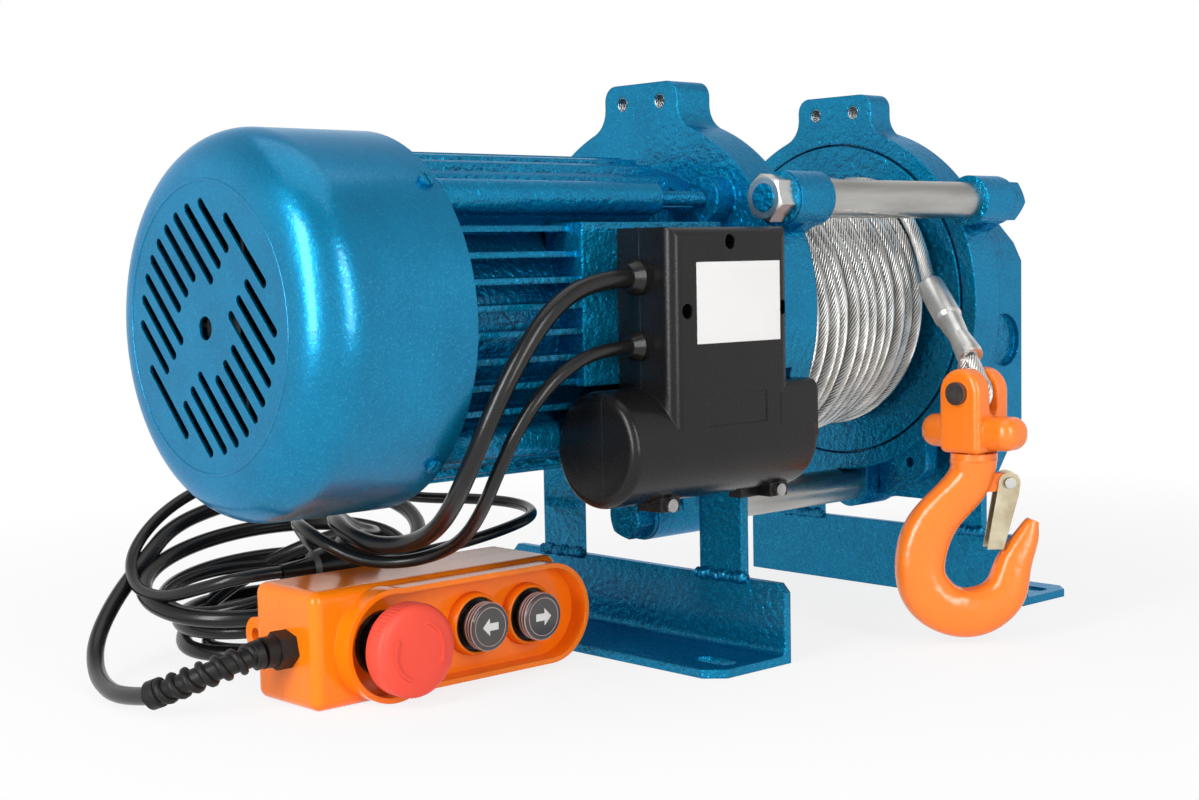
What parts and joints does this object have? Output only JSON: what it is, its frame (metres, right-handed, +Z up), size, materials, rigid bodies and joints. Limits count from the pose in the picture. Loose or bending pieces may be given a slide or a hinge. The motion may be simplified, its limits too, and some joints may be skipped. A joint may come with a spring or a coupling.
{
  "type": "electric winch",
  "caption": "Electric winch: finned motor, wire-rope drum between end plates on tie rods, gearbox, slotted angle feet, swivel hook with latch, control box and push-button pendant.",
  "frame": {"origin": "middle of the four foot slots, on the floor under the feet", "axes": "+X to the front, where the control box and hook are; +Y along the drum from the motor to the gearbox; +Z up"},
  "size_m": [0.402, 0.6228, 0.34],
  "materials": {
    "blue_paint": "glitter",
    "zinc": "zinc plated",
    "steel": "machined",
    "copper": "enamelled wire",
    "black_plastic": "moulded",
    "capacitor_can": "moulded",
    "cable_rubber": "satin",
    "wire_rope": "galvanised strands",
    "ferrule_metal": "crimped",
    "orange_paint": "gloss",
    "dark_steel": "blackened",
    "yellow_zinc": "passivated",
    "orange_plastic": "gloss",
    "ring_plastic": "satin",
    "red_plastic": "satin"
  },
  "bodies": {
    "frame": {"motor_plate": "blue_paint", "gear_plate": "blue_paint", "motor_foot": "blue_paint", "gear_foot": "blue_paint", "post_bolts": "blue_paint", "motor_housing": "blue_paint", "motor_end_shield": "blue_paint", "fan_cover": "blue_paint", "gearbox_housing": "blue_paint", "gearbox_cover": "blue_paint", "tie_rods": "zinc", "spacer_tubes": "zinc", "tie_nuts": "zinc", "tie_washers": "zinc", "through_bolts": "zinc", "fan_cover_screws": "zinc", "gearbox_bolts": "zinc", "control_box_screws": "zinc", "pendant_screws": "zinc", "stator_core": "steel", "shaft_bearings": "steel", "gear_bearings": "steel", "stator_windings": "copper", "control_box_back": "black_plastic", "control_box_cover": "black_plastic", "terminal_block": "black_plastic", "contact_blocks": "black_plastic", "gland_nut": "black_plastic", "capacitor": "capacitor_can", "cable_grommets": "cable_rubber", "pendant_strain_relief": "cable_rubber", "pendant_cable": "cable_rubber", "mains_lead": "cable_rubber", "cable_coil": "cable_rubber", "mains_plug": "cable_rubber", "rope_tail": "wire_rope", "rope_ferrule": "ferrule_metal", "pendant_front": "orange_plastic", "pendant_back": "orange_plastic", "button_bezels": "ring_plastic"},
    "drum_assembly": {"drum_barrel": "blue_paint", "drum_flanges": "blue_paint", "rope_winding": "wire_rope", "rope_clamp": "steel", "drum_gear": "steel"},
    "rotor_assembly": {"motor_shaft": "steel", "rotor_core": "steel", "cooling_fan": "black_plastic"},
    "layshaft_assembly": {"layshaft": "steel", "intermediate_gear": "steel"},
    "swivel_assembly": {"swivel_head": "orange_paint", "clevis_pin": "dark_steel"},
    "hook_assembly": {"hook": "orange_paint", "latch_pin": "dark_steel", "latch_spring": "steel"},
    "latch_assembly": {"hook_latch": "yellow_zinc"},
    "estop_plunger": {"estop_stem": "red_plastic"},
    "estop_cap": {"estop_head": "red_plastic"},
    "forward_push": {"forward_button": "black_plastic"},
    "reverse_push": {"reverse_button": "black_plastic"}
  },
  "joints": [
    {"name": "drum_spin", "type": "hinge", "parent": "frame", "child": "drum_assembly", "pos_m": [0.018, 0, 0.205], "axis": [0, 1, 0], "continuous": true},
    {"name": "layshaft_spin", "type": "hinge", "parent": "frame", "child": "layshaft_assembly", "pos_m": [-0.03556, 0, 0.17795], "axis": [0, 1, 0], "continuous": true},
    {"name": "rotor_spin", "type": "hinge", "parent": "frame", "child": "rotor_assembly", "pos_m": [0.018, 0, 0.205], "axis": [0, 1, 0], "continuous": true},
    {"name": "swivel_swing", "type": "hinge", "parent": "frame", "child": "swivel_assembly", "pos_m": [0.165, 0.0035, 0.152], "axis": [0, 1, 0], "range_deg": [-60, 20]},
    {"name": "hook_turn", "type": "hinge", "parent": "swivel_assembly", "child": "hook_assembly", "pos_m": [0.165, 0.0035, 0.12], "axis": [0, 0, 1], "continuous": true},
    {"name": "latch_pivot", "type": "hinge", "parent": "hook_assembly", "child": "latch_assembly", "pos_m": [0.17856, 0.0182, 0.0975], "axis": [-0.7349, 0.6782, 0], "range_deg": [0, 20], "stiffness_Nm_per_rad": 0.06, "springref_deg": -14.32},
    {"name": "estop_press", "type": "slide", "parent": "frame", "child": "estop_plunger", "axis": [-1, 0, 0], "range_m": [0, 0.005], "stiffness_N_per_m": 800},
    {"name": "estop_twist", "type": "hinge", "parent": "estop_plunger", "child": "estop_cap", "pos_m": [0.04, -0.33, 0.0315], "axis": [1, 0, 0], "range_deg": [-45, 0], "stiffness_Nm_per_rad": 0.05},
    {"name": "forward_press", "type": "slide", "parent": "frame", "child": "forward_push", "axis": [-1, 0, 0], "range_m": [0, 0.004], "stiffness_N_per_m": 500},
    {"name": "reverse_press", "type": "slide", "parent": "frame", "child": "reverse_push", "axis": [-1, 0, 0], "range_m": [0, 0.004], "stiffness_N_per_m": 500}
  ],
  "couplings": [
    {"joint": "layshaft_spin", "follows": "drum_spin", "ratio": -4.4545},
    {"joint": "rotor_spin", "follows": "drum_spin", "ratio": 25.242}
  ]
}
